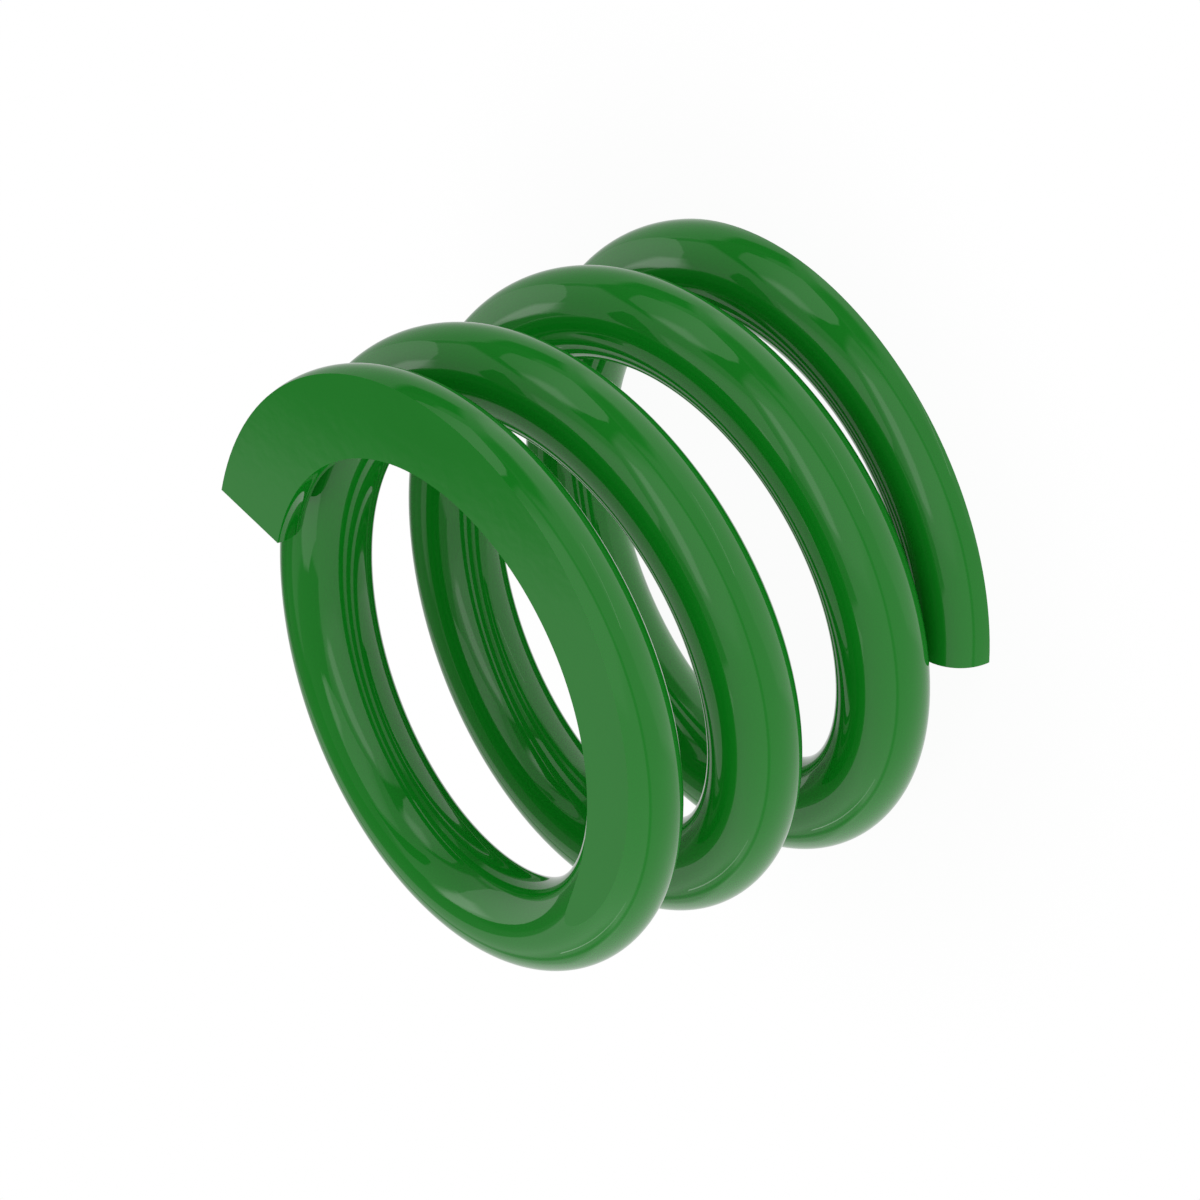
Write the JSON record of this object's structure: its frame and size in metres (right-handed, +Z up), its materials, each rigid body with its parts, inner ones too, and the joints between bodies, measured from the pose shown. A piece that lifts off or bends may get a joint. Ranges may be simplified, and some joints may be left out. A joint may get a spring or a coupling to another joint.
{
  "type": "compression spring",
  "caption": "Short helical compression spring of round wire, wound right-handed, with both ends closed up, ground flat and the whole coil painted glossy green.",
  "frame": {"origin": "on the coil's axis, in the plane of the lower ground face", "axes": "+Z up along the coil's axis from the lower ground face to the upper one; +X from the axis towards the lower wire tip"},
  "size_m": [0.0368, 0.0368, 0.0259],
  "materials": {
    "green_paint": "smooth gloss paint over spring steel wire, the same on the wire and on the ground faces"
  },
  "bodies": {
    "root": {"spring_coil": "green_paint"}
  },
  "joints": []
}
